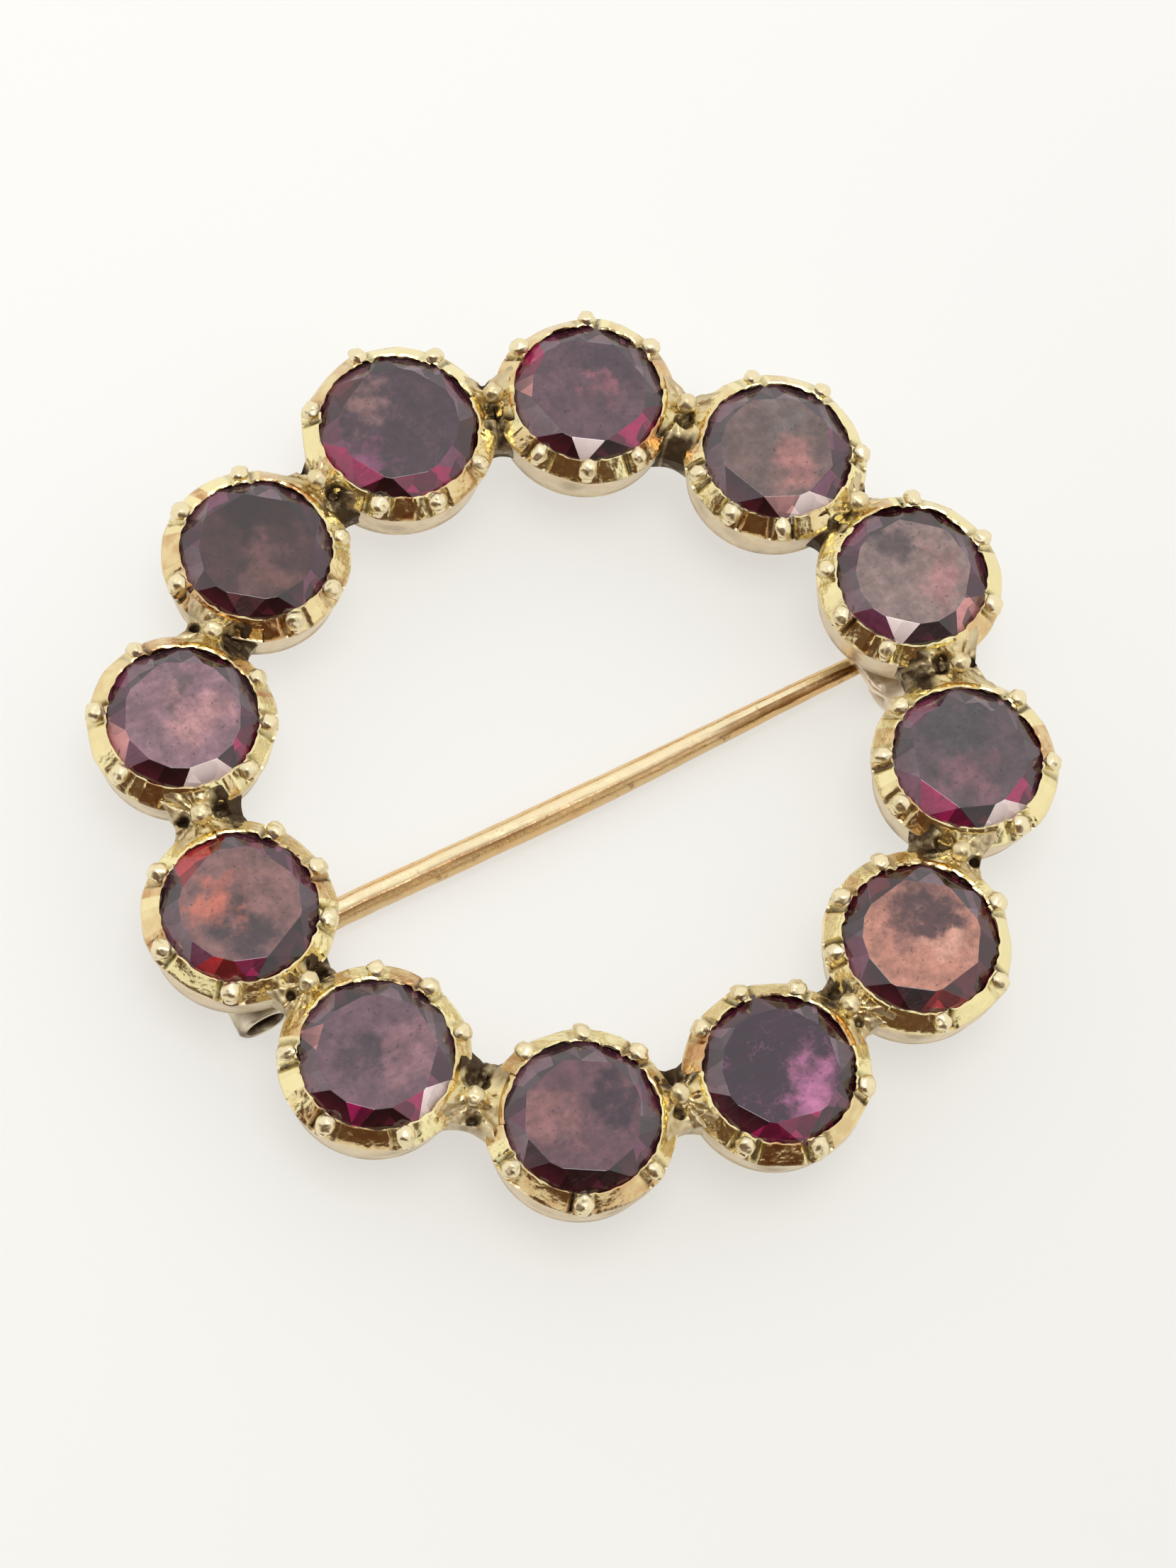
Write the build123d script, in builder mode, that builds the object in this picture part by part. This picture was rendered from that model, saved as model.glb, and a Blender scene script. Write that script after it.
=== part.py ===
"""A round brooch: twelve flat-cut garnets in a ring of cut-down collets, with a hinged pin across the back.

Each garnet sits in its own closed cup of gold, whose wall is burnished over the stone's edge and cut into small
claws. The cups stand in a ring, and a web of metal with a round grain on top joins each cup to the next. The
two fixed knuckles of the hinge and the hook of the catch are soldered to the backs of two opposite cups, so
all this metal is one piece. The pin has the hinge's middle knuckle at its root and turns on a rivet.

Units are millimetres. The brooch lies on its back: Z points up through the stones, the floor is Z = 0 and the
ring's centre is on the Z axis. The pin runs along X, from the hinge at -X to the catch at +X.
"""

import os
from collections import namedtuple
from math import atan2, cos, pi, radians, sin

from build123d import *

# Garnets
stone_count = 12
stone_radius = 2.35
table_radius = 1.76
crown_height = 0.36
girdle_height = 0.22
pavilion_depth = 1.05
culet_radius = 0.55
crown_sides = 8
pavilion_sides = 16

# Cups
seat_gap = 0.03
seat_width = 0.30
cup_wall = 0.42
cup_back = 0.40
cup_taper = 0.28
cup_edge_radius = 0.30
girdle_over_back = 1.98
lip_overhang = 0.09
lip_thickness = 0.09
lip_flat = 0.06
bevel_drop = 0.42

# Claws
claw_tip_radius = 0.19
claw_root_radius = 0.15
claw_outset = 0.12
claw_rise = 0.20
claw_inset = 0.18
claw_drop = 0.32
inner_claws = 3
outer_claws = 3

# Webs and grains between the cups
cup_spacing = 0.20
grain_radius = 0.30
grain_drop = 0.12
web_drop = 0.34
web_width = 1.70
web_depth = 1.35
web_bite = 0.35

# Hinge
knuckle_radius = 0.80
rivet_radius = 0.36
rivet_gap = 0.04
hinge_back_gap = 0.10
near_knuckle_length = 1.25
far_knuckle_length = 2.15
pin_knuckle_length = 1.50
knuckle_gap = 0.05
recess_radius = 0.56
recess_depth = 0.28
hinge_foot_width = 1.00
hinge_outset = 0.30

# Pin
pin_radius = 0.43
pin_aside = -0.58
root_radius = 0.60
root_length = 2.90
root_taper = 0.40
straight_length = 9.00
shoulder_radius = 0.29
tip_radius = 0.05
tip_length = 2.60
pin_past_cup = 1.70

# Catch
hook_thickness = 0.36
hook_width = 1.60
hook_inset = 1.55
hook_bend_aside = -1.42
hook_gap = 0.06
hook_foot_past_pin = 1.10

# The ring's lie on the pin's line
ring_turn_deg = 0.4

# The ring is hand made, so no stone is quite in its even place or quite the even size. A row for each stone,
# counter-clockwise from the one over the catch: how far it stands past its even place, its distance from the
# ring's centre and its size as shares of the even ones, and how far its facets and its claws are turned.
Stone = namedtuple("Stone", "past_deg ring_share size_share facets_deg claws_deg")
stones = [
    Stone(0.8, 1.003, 1.010, 5, 3),
    Stone(-0.6, 0.996, 1.003, 21, -3),
    Stone(-0.1, 0.998, 1.003, 12, 2),
    Stone(-0.2, 1.000, 1.050, 30, -2),
    Stone(0.2, 0.986, 0.995, 8, 4),
    Stone(-0.6, 1.024, 0.982, 17, -2),
    Stone(0.1, 0.990, 0.998, 26, 2),
    Stone(-0.2, 1.003, 0.989, 2, -4),
    Stone(0.5, 1.009, 0.987, 14, 1),
    Stone(0.1, 0.997, 0.980, 33, -3),
    Stone(-0.1, 0.998, 1.013, 10, 4),
    Stone(0.1, 0.996, 0.995, 24, -1),
]

# Sizes that follow from the ones above
cup_radius = stone_radius + seat_gap + cup_wall
ring_radius = (2 * cup_radius + cup_spacing) / (2 * sin(pi / stone_count))
crown_rise = crown_height / (stone_radius - table_radius)
back_z = 2 * knuckle_radius + hinge_back_gap
girdle_z = back_z + girdle_over_back
lip_height = girdle_over_back + crown_rise * lip_overhang + seat_gap + lip_thickness
web_deg = 90 + 180 / stone_count
outer_step = 2 * web_deg / (outer_claws + 1)
inner_step = (360 - 2 * web_deg) / (inner_claws + 1)
hinge_x = -(ring_radius + hinge_outset)
hinge_z = knuckle_radius

# A cup's outline is drawn in the upright plane between its last outer claw and its web, where nothing crosses
# the seam of its round faces.
seam = radians(web_deg - outer_step / 2)
cup_section = Plane(origin=(0, 0, 0), x_dir=(cos(seam), sin(seam), 0), z_dir=(sin(seam), -cos(seam), 0))


def stone_row(number):
    """The hand-made row of a stone; the rows begin again if the ring has more stones."""
    return stones[number % len(stones)]


def size_of(number):
    """The radius of a stone."""
    return stone_radius * stone_row(number).size_share


def culet_of(number):
    """The radius of the flat at the bottom of a stone."""
    return culet_radius * stone_row(number).size_share


def angle_of(number):
    """The angle round the ring, in degrees, at which a stone stands."""
    return 360 * number / stone_count + stone_row(number).past_deg + ring_turn_deg


def place_of(number, height):
    """The point of a stone's axis at that height."""
    distance = ring_radius * stone_row(number).ring_share
    angle = radians(angle_of(number))
    return Vector(distance * cos(angle), distance * sin(angle), height)


def facet_plane(turn_deg, edge_reach, edge_height, end_reach, end_height):
    """The plane of a facet that faces turn_deg, from its edge on the girdle to its edge on the table or culet."""
    rise = end_height - edge_height
    slope = atan2(edge_reach - end_reach, abs(rise))
    turn = radians(turn_deg)
    normal = (cos(slope) * cos(turn), cos(slope) * sin(turn), sin(slope) * rise / abs(rise))
    return Plane(origin=(edge_reach * cos(turn), edge_reach * sin(turn), edge_height), z_dir=normal)


def make_stone(number):
    """A flat-cut garnet about the top of its girdle, with a table, two kinds of crown facet and a pavilion."""
    radius = size_of(number)
    table = table_radius * stone_row(number).size_share
    bottom = -girdle_height - pavilion_depth
    half_deg = 180 / crown_sides
    half_share = cos(radians(half_deg))
    with BuildPart(Plane.XY.offset(bottom)) as stone:
        Cylinder(radius, crown_height - bottom, align=(Align.CENTER, Align.CENTER, Align.MIN))
        for side in range(crown_sides):
            turn_deg = stone_row(number).facets_deg + 2 * half_deg * side
            star = facet_plane(turn_deg, radius, 0, table * half_share, crown_height)
            split(bisect_by=star, keep=Keep.BOTTOM)
            kite = facet_plane(turn_deg + half_deg, radius * half_share, 0, table, crown_height)
            split(bisect_by=kite, keep=Keep.BOTTOM)
        for side in range(pavilion_sides):
            turn_deg = stone_row(number).facets_deg + side * 360 / pavilion_sides
            lower = facet_plane(turn_deg, radius, -girdle_height, culet_of(number), bottom)
            split(bisect_by=lower, keep=Keep.BOTTOM)
    return stone.part


def make_cup(number):
    """A cup about the middle of its back, still solid inside."""
    outside = size_of(number) + seat_gap + cup_wall
    with BuildPart() as cup:
        with BuildSketch(cup_section):
            with BuildLine():
                Polyline(
                    (0, 0),
                    (outside - cup_taper, 0),
                    (outside, lip_height - bevel_drop),
                    (size_of(number) - lip_overhang + lip_flat, lip_height),
                    (0, lip_height),
                    close=True,
                )
            make_face()
        revolve(axis=Axis.Z)
        fillet(cup.edges().group_by(Axis.Z)[0], cup_edge_radius)
    return cup.part


def make_hollow(number):
    """What is cut out of a cup, with the stone's sloping seat low in it and the lip over the stone's edge."""
    inside = size_of(number) + seat_gap
    mouth = size_of(number) - lip_overhang
    lip_under = lip_height - lip_thickness
    seat_top = girdle_over_back - girdle_height - seat_gap
    seat_fall = seat_width * pavilion_depth / (size_of(number) - culet_of(number))
    with BuildPart() as hollow:
        with BuildSketch(cup_section):
            with BuildLine():
                Polyline(
                    (0, cup_back),
                    (inside - seat_width, cup_back),
                    (inside - seat_width, seat_top - seat_fall),
                    (inside, seat_top),
                    (inside, lip_under - crown_rise * (inside - mouth)),
                    (mouth, lip_under),
                    (mouth, lip_height),
                    (0, lip_height),
                    close=True,
                )
            make_face()
        revolve(axis=Axis.Z)
    return hollow.part


def claw_angles(number):
    """The angles of a cup's claws, from straight out of the ring, spread evenly between its two webs."""
    outer = [outer_step * (claw + 1) - web_deg for claw in range(outer_claws)]
    inner = [inner_step * (claw + 1) + web_deg for claw in range(inner_claws)]
    return [angle + stone_row(number).claws_deg for angle in outer + inner]


def make_claw(number):
    """A claw about the middle of its cup's back: a bar with round ends that leans from +X over the stone."""
    root = Vector(size_of(number) + seat_gap + cup_wall - claw_inset, 0, lip_height - claw_drop)
    tip = Vector(size_of(number) + claw_outset, 0, lip_height + claw_rise - claw_tip_radius)
    length = (tip - root).length
    with BuildPart() as claw:
        with BuildSketch(Plane.XZ):
            with BuildLine():
                CenterArc((0, 0), claw_root_radius, -90, 90)
                Line((claw_root_radius, 0), (claw_tip_radius, length))
                CenterArc((0, length), claw_tip_radius, 0, 90)
                Line((0, length + claw_tip_radius), (0, -claw_root_radius))
            make_face()
        revolve(axis=Axis.Z)
    return claw.part.moved(Plane(origin=root, z_dir=tip - root).location)


def make_web(number):
    """The web from a cup to the next one, which bites into both walls but not their hollows, and its grain."""
    here = place_of(number, back_z + lip_height - grain_drop)
    there = place_of((number + 1) % stone_count, here.Z)
    distance = (there - here).length
    start = size_of(number) + seat_gap + cup_wall - web_bite
    end = distance - size_of((number + 1) % stone_count) - seat_gap - cup_wall + web_bite
    middle = here + (there - here) * (start + end) / (2 * distance)
    with BuildPart(Plane(origin=middle, x_dir=there - here, z_dir=(0, 0, 1))) as web:
        Sphere(grain_radius)
        with Locations((0, 0, grain_drop - web_drop)):
            Box(end - start, web_width, web_depth, align=(Align.CENTER, Align.CENTER, Align.MAX))
    return web.part


os.makedirs("parts", exist_ok=True)

# Garnets, each lying loosely on its own seat
for number in range(stone_count):
    with BuildPart(Plane(place_of(number, girdle_z))) as garnet:
        add(make_stone(number))
    garnet.part.label = f"garnet_{number + 1:02d}"
    export_step(garnet.part, f"parts/{garnet.part.label}.step")

# Hinge and catch sizes that follow from the pin's line
pin_knuckle_y = pin_aside - pin_knuckle_length / 2
near_end_y = pin_knuckle_y - knuckle_gap - near_knuckle_length
far_knuckle_y = pin_knuckle_y + pin_knuckle_length + knuckle_gap
far_end_y = far_knuckle_y + far_knuckle_length
foot_reach = cup_radius - cup_taper - cup_edge_radius
hole_radius = rivet_radius + rivet_gap
hook_x = ring_radius - hook_inset
pin_end_x = ring_radius + pin_past_cup
straight_end_x = hinge_x + root_length + straight_length
shoulder_x = pin_end_x - tip_length
taper_rate = (pin_radius - shoulder_radius) / (shoulder_x - straight_end_x)
pin_radius_in_hook = pin_radius - taper_rate * (hook_x - hook_width / 2 - straight_end_x)
lip_end_y = pin_aside - pin_radius_in_hook - hook_gap
hook_foot_y = pin_aside + hook_foot_past_pin
bend_radius = back_z / 2

# Setting: the cups with their claws, the webs and grains, and the fixed halves of the hinge and the catch
raised = []
hollows = []
for number in range(stone_count):
    cup_place = Location(place_of(number, back_z), (0, 0, angle_of(number)))
    claw = make_claw(number)
    raised.append(make_cup(number).moved(cup_place))
    raised += [claw.moved(cup_place * Location((0, 0, 0), (0, 0, turn_deg))) for turn_deg in claw_angles(number)]
    raised.append(make_web(number))
    hollows.append(make_hollow(number).moved(cup_place))
with BuildPart() as setting:
    add(raised)
    add(hollows, mode=Mode.SUBTRACT)
    for start_y, length in ((near_end_y, near_knuckle_length), (far_knuckle_y, far_knuckle_length)):
        with Locations(Plane(origin=(hinge_x, start_y, hinge_z), z_dir=(0, 1, 0)).location):
            Cylinder(knuckle_radius, length, align=(Align.CENTER, Align.CENTER, Align.MIN))
        foot_low_y = max(start_y, -foot_reach)
        foot_high_y = min(start_y + length, foot_reach)
        with Locations((hinge_x, foot_low_y, hinge_z)):
            Box(
                hinge_foot_width,
                foot_high_y - foot_low_y,
                back_z - hinge_z,
                align=(Align.CENTER, Align.MIN, Align.MIN),
            )
    with Locations(Plane(origin=(hinge_x, near_end_y, hinge_z), z_dir=(0, 1, 0)).location):
        Cylinder(
            hole_radius,
            far_end_y - near_end_y,
            align=(Align.CENTER, Align.CENTER, Align.MIN),
            mode=Mode.SUBTRACT,
        )
    for end_y, side in ((near_end_y, Align.MIN), (far_end_y, Align.MAX)):
        with Locations(Plane(origin=(hinge_x, end_y, hinge_z), z_dir=(0, 1, 0)).location):
            Cylinder(recess_radius, recess_depth, align=(Align.CENTER, Align.CENTER, side), mode=Mode.SUBTRACT)
    with BuildSketch(Plane.YZ.offset(hook_x - hook_width / 2)):
        with BuildLine():
            Line((hook_foot_y, back_z), (hook_bend_aside, back_z))
            ThreePointArc(
                (hook_bend_aside, back_z),
                (hook_bend_aside - bend_radius, bend_radius),
                (hook_bend_aside, 0),
            )
            Polyline(
                (hook_bend_aside, 0),
                (lip_end_y, 0),
                (lip_end_y, hook_thickness),
                (hook_bend_aside, hook_thickness),
            )
            ThreePointArc(
                (hook_bend_aside, hook_thickness),
                (hook_bend_aside - bend_radius + hook_thickness, bend_radius),
                (hook_bend_aside, back_z - hook_thickness),
            )
            Polyline(
                (hook_bend_aside, back_z - hook_thickness),
                (hook_foot_y, back_z - hook_thickness),
                (hook_foot_y, back_z),
            )
        make_face()
    extrude(amount=hook_width)
setting.part.label = "setting"
export_step(setting.part, "parts/setting.step")

# Hinge rivet, set back in the ends of the barrel
with BuildPart(Plane(origin=(hinge_x, near_end_y + recess_depth, hinge_z), z_dir=(0, 1, 0))) as hinge_rivet:
    Cylinder(
        rivet_radius,
        far_end_y - near_end_y - 2 * recess_depth,
        align=(Align.CENTER, Align.CENTER, Align.MIN),
    )
hinge_rivet.part.label = "hinge_rivet"
export_step(hinge_rivet.part, "parts/hinge_rivet.step")

# Pin: a wire turned down to a point, soldered into the hinge's middle knuckle
with BuildPart() as pin:
    with BuildSketch(Plane(origin=(hinge_x, pin_aside, hinge_z), x_dir=(1, 0, 0), z_dir=(0, -1, 0))):
        with BuildLine():
            Polyline(
                (0, 0),
                (0, root_radius),
                (root_length - root_taper, root_radius),
                (root_length, pin_radius),
                (straight_end_x - hinge_x, pin_radius),
                (shoulder_x - hinge_x, shoulder_radius),
                (pin_end_x - hinge_x, tip_radius),
                (pin_end_x - hinge_x, 0),
                close=True,
            )
        make_face()
    revolve(axis=Axis((hinge_x, pin_aside, hinge_z), (1, 0, 0)))
    with Locations(Plane(origin=(hinge_x, pin_knuckle_y, hinge_z), z_dir=(0, 1, 0)).location):
        Cylinder(knuckle_radius, pin_knuckle_length, align=(Align.CENTER, Align.CENTER, Align.MIN))
        Cylinder(
            hole_radius,
            pin_knuckle_length,
            align=(Align.CENTER, Align.CENTER, Align.MIN),
            mode=Mode.SUBTRACT,
        )
pin.part.label = "pin"
export_step(pin.part, "parts/pin.step")
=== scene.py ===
# A round brooch lying on its back on a pale table: a ring of flat-cut garnets in gold collets, each with a
# burnished edge and small claws, and a hinged pin across the back.
import math
import random
from collections import namedtuple

import bmesh
import bpy
from mathutils import Matrix, Vector, noise


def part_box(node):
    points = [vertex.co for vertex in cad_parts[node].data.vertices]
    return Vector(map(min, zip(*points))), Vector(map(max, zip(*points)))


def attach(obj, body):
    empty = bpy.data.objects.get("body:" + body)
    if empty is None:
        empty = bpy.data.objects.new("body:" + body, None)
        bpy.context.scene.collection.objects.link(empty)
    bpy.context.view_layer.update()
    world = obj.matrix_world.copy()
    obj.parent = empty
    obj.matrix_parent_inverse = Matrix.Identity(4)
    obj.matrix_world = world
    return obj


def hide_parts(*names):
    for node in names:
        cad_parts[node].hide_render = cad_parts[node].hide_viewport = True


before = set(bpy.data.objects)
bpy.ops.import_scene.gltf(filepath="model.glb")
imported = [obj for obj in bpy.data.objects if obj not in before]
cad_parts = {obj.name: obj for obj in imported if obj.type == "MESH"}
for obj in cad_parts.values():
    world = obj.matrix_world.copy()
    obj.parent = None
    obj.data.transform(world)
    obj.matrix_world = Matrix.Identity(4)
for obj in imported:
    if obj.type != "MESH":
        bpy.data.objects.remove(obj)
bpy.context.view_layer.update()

# The table and the light. The brooch lies on a matt white sheet in soft white light from all round, with a
# small lamp overhead. The sheet carries painted light: it glows a little, which lightens the shadows on it,
# and it is painted darker toward its near side. The one dark thing near it stands low down at its near
# side, and the polished metal and the stones reflect it.
scene = bpy.context.scene
scene.view_settings.view_transform = "Standard"
mm = 0.001
sheet_size = 900
sheet_near_colour = (0.353, 0.350, 0.333, 1.0)
sheet_far_colour = (0.398, 0.396, 0.386, 1.0)
sheet_glow = 1.45
sheet_roughness = 0.6
sheet_bright_deg = 102.0
sheet_fade = 40
sky_colour = (1.0, 0.99, 0.97, 1.0)
sky_strength = 1.0
dark_colour = (0.130, 0.068, 0.036, 1.0)
dark_azimuth = -43.0
dark_elevation = 14.0
dark_edge = 0.50
dark_softness = 0.25
lamp_power = 0.17
lamp_size = 120
lamp_place = (-10, -12, 300)


def new_nodes(owner):
    """Empties a node tree, and gives a function that adds a node to it with its inputs."""
    owner.use_nodes = True
    tree = owner.node_tree
    tree.nodes.clear()

    def add(kind, inputs=(), **settings):
        node = tree.nodes.new(kind)
        for name, value in settings.items():
            setattr(node, name, value)
        for name, value in dict(inputs).items():
            if isinstance(value, bpy.types.NodeSocket):
                tree.links.new(value, node.inputs[name])
            else:
                node.inputs[name].default_value = value
        return node

    return add


def blend(add, share, first, second, how="MIX"):
    """The colour between two colours, by share."""
    inputs = {0: share, 6: first, 7: second}
    return add("ShaderNodeMix", inputs, data_type="RGBA", blend_type=how).outputs[2]


def stretch(add, value, low, high, to_low=0.0, to_high=1.0):
    """The value taken from one range to another, and held inside it."""
    inputs = {"Value": value, "From Min": low, "From Max": high, "To Min": to_low, "To Max": to_high}
    return add("ShaderNodeMapRange", inputs, interpolation_type="SMOOTHSTEP").outputs[0]


def sums(add, how, *values):
    """One arithmetic step on numbers or sockets."""
    return add("ShaderNodeMath", dict(enumerate(values)), operation=how).outputs[0]


def way_to(azimuth_deg, elevation_deg):
    """The direction of what stands so far round from the front, and so high."""
    azimuth, elevation = math.radians(azimuth_deg), math.radians(elevation_deg)
    x = math.sin(azimuth) * math.cos(elevation)
    y = -math.cos(azimuth) * math.cos(elevation)
    return Vector((x, y, math.sin(elevation)))


world = bpy.data.worlds.new("studio")
scene.world = world
add = new_nodes(world)
dark_way = way_to(dark_azimuth, dark_elevation)
way = add("ShaderNodeTexCoord").outputs["Generated"]
nearness = add("ShaderNodeVectorMath", {0: way, 1: dark_way}, operation="DOT_PRODUCT").outputs["Value"]
shade = stretch(add, nearness, dark_edge, dark_edge + dark_softness)
unseen = sums(add, "SUBTRACT", 1.0, add("ShaderNodeLightPath").outputs["Is Camera Ray"])
sky = blend(add, sums(add, "MULTIPLY", shade, unseen), sky_colour, dark_colour)
sky_light = add("ShaderNodeBackground", {"Color": sky, "Strength": sky_strength})
add("ShaderNodeOutputWorld", {"Surface": sky_light.outputs[0]})

sheet_mesh = bmesh.new()
bmesh.ops.create_grid(sheet_mesh, x_segments=1, y_segments=1, size=sheet_size * mm / 2)
sheet_data = bpy.data.meshes.new("sheet")
sheet_mesh.to_mesh(sheet_data)
sheet_mesh.free()
sheet = bpy.data.objects.new("sheet", sheet_data)
scene.collection.objects.link(sheet)
sheet_paper = bpy.data.materials.new("sheet")
add = new_nodes(sheet_paper)
place = add("ShaderNodeTexCoord").outputs["Object"]
# Painted shade: the sheet is made darker toward its near side and brighter toward its far side.
bright_way = (math.cos(math.radians(sheet_bright_deg)), math.sin(math.radians(sheet_bright_deg)), 0)
away = add("ShaderNodeVectorMath", {0: place, 1: bright_way}, operation="DOT_PRODUCT")
far = stretch(add, away.outputs["Value"], -sheet_fade * mm, sheet_fade * mm)
colour = blend(add, far, sheet_near_colour, sheet_far_colour)
inputs = {"Base Color": colour, "Roughness": sheet_roughness}
# The sheet's glow is painted light, though the sheet is no lamp; it lightens the shadows on it.
inputs |= {"Emission Color": colour, "Emission Strength": sheet_glow}
paper = add("ShaderNodeBsdfPrincipled", inputs)
add("ShaderNodeOutputMaterial", {"Surface": paper.outputs[0]})
sheet_data.materials.append(sheet_paper)

lamp_data = bpy.data.lights.new("lamp", "AREA")
lamp_data.energy = lamp_power
lamp_data.size = lamp_size * mm
lamp = bpy.data.objects.new("lamp", lamp_data)
lamp_turn = Vector(lamp_place).to_track_quat("Z", "Y").to_matrix().to_4x4()
lamp.matrix_world = Matrix.Translation(Vector(lamp_place) * mm) @ lamp_turn
scene.collection.objects.link(lamp)

# The camera. It looks down at the stones' girdles from over the brooch's lower left edge, about a hand's
# breadth away and a little turned, as the photograph was taken.
crown_height = 0.36
girdle_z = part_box("garnet_01")[1].z / mm - crown_height
view_azimuth = -42.69
view_elevation = 67.13
view_roll = 14.77
view_distance = 116.13
view_right = 0.135
view_up = -1.224
view_lens = 92.9
view_nearest = 10

azimuth, roll = math.radians(view_azimuth), math.radians(view_roll)
back = way_to(view_azimuth, view_elevation)
level_right = Vector((math.cos(azimuth), math.sin(azimuth), 0))
level_up = back.cross(level_right)
right = level_right * math.cos(roll) + level_up * math.sin(roll)
up = level_up * math.cos(roll) - level_right * math.sin(roll)
camera_data = bpy.data.cameras.new("camera")
camera_data.lens = view_lens
camera_data.clip_start = view_nearest * mm
camera = bpy.data.objects.new("camera", camera_data)
eye = Vector((0, 0, girdle_z)) + back * view_distance + right * view_right + up * view_up
camera.matrix_world = Matrix.Translation(eye * mm) @ Matrix((right, up, back)).transposed().to_4x4()
scene.collection.objects.link(camera)
scene.camera = camera

# Collets: twelve closed cups of a low-carat yellow gold, each turned up from a strip and cut down round its
# stone. The edge is burnished over the stone and bright-cut into small flat panels, with six claws left
# standing between them. The plain walls are paler and tarnished in patches, and painted shade darkens the
# foot, the notches and the wall beside each web.
stone_count = 12
gold_cut = (0.93, 0.825, 0.45, 1.0)
gold_wall = (0.86, 0.74, 0.51, 1.0)
gold_amber = (0.58, 0.30, 0.13, 1.0)
gold_tarnish_and_shade = (0.100, 0.066, 0.037, 1.0)
# Here and below, a range says which stretch of a pattern counts, and what it is stretched to.
amber_range = (0.35, 0.65, 0.5, 1.0)
tarnish_and_shade_range = (0.32, 0.60, 0.48, 1.32)
stain_range = (0.62, 0.80, 0.0, 0.25)
speck_range = (0.35, 0.75, 0.0, 0.14)
plain_roughness = 0.17
tarnish_and_shade_roughness = 0.30
speck_relief = 0.30
gold_relief = 0.07
seat_gap = 0.03
cup_wall = 0.42
cup_back = 0.40
cup_taper = 0.28
cup_edge_radius = 0.30
cup_edge_steps = 4
wall_rows = 5
bevel_rows = 6
girdle_over_back = 1.98
lip_overhang = 0.09
lip_flat = 0.06
lip_turn = 0.02
lip_thickness = 0.11
lip_over_girdle = 0.175
bevel_drop = 0.42
bevel_shoulder = ((0.0, -0.09), (-0.03, -0.02), (-0.09, 0.05))
seat_width = 0.30
seat_drop = 0.25
seat_fall = 0.18
cup_steps = 320
collet_seed = 100
claw_angles = (-52.5, 0.0, 52.5, 142.5, 180.0, 217.5)
claw_turns = (3, -3, 2, -2, 4, -2, 2, -4, 1, -3, 4, -1)
claw_spread = 2.5
claw_length = 0.60
claw_width = 0.55
claw_height = 0.42
claw_growth = (0.86, 1.10)
claw_stretch = (0.88, 1.08)
claw_outset = 0.17
claw_under_lip = 0.08
claw_rise = 0.195
claw_inset = 0.01
claw_tilt = 30.0
claw_tilt_spread = 8
claw_skew = 0.25
claw_lumps = 0.20
claw_lump_rate = 3.2
claw_root_share = 0.62
claw_root_outset = 0.33
claw_root_under = 0.26
bead_finish = (0.0, 0.75, 0.0, 1.0)
notch_strength = (0.1, 1.0)
notch_aside = 0.56
notch_width = 0.13
notch_depth = 0.14
flats_in_gap = (1, 1, 1, 2, 2, 3, 4, 7)
wide_gap_deg = 80
wide_gap_flats = 2
flat_jitter = 0.3
flat_depth = 0.03
flat_tip = 0.09
flat_tip_deg = 40
flat_chord = 0.55
flat_chord_limit = 0.09
flat_reach_down = 1.1
flat_fade = 0.5
cut_inward = 0.60
cut_down = 0.80
edge_margin = 0.05
bevel_margin = 0.10
bevel_fade = 0.08
lip_fade = 0.03
lump_rate = 1.1
lump_stride = 7
lump_height = 0.03
lump_sink = 0.02
rag_rate = 4.0
rag_stride = 3
rag_depth = 0.07
rag_least = -0.2
rag_slope = 2.5
rag_start = 1.5
foot_height = 0.6
rim_start_share = 0.6
rim_fade_share = 0.3
web_deg = 105.0
web_shade_deg = 20.0
foot_painted_shade = 0.15
foot_rim_painted_shade = 0.20
beside_web_painted_shade = 0.8
notch_painted_shade = 0.9
wall_soil = 0.05
lump_soil = 0.4
wall_warmth = 0.22


def patches(add, place, scale, detail, roughness=0.5):
    """Soft random patches over a surface, from 0 to 1."""
    inputs = {"Vector": place, "Scale": scale, "Detail": detail, "Roughness": roughness}
    return add("ShaderNodeTexNoise", inputs).outputs[0]


def metal_surface(add, colour, rough, dents, strength, depth):
    """Gives a metal its colour, its roughness and its dents, which are depth millimetres deep."""
    bump = add("ShaderNodeBump", {"Height": dents, "Strength": strength, "Distance": depth * mm}).outputs[0]
    inputs = {"Base Color": colour, "Metallic": 1.0, "Roughness": rough, "Normal": bump}
    metal = add("ShaderNodeBsdfPrincipled", inputs)
    add("ShaderNodeOutputMaterial", {"Surface": metal.outputs[0]})


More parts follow.
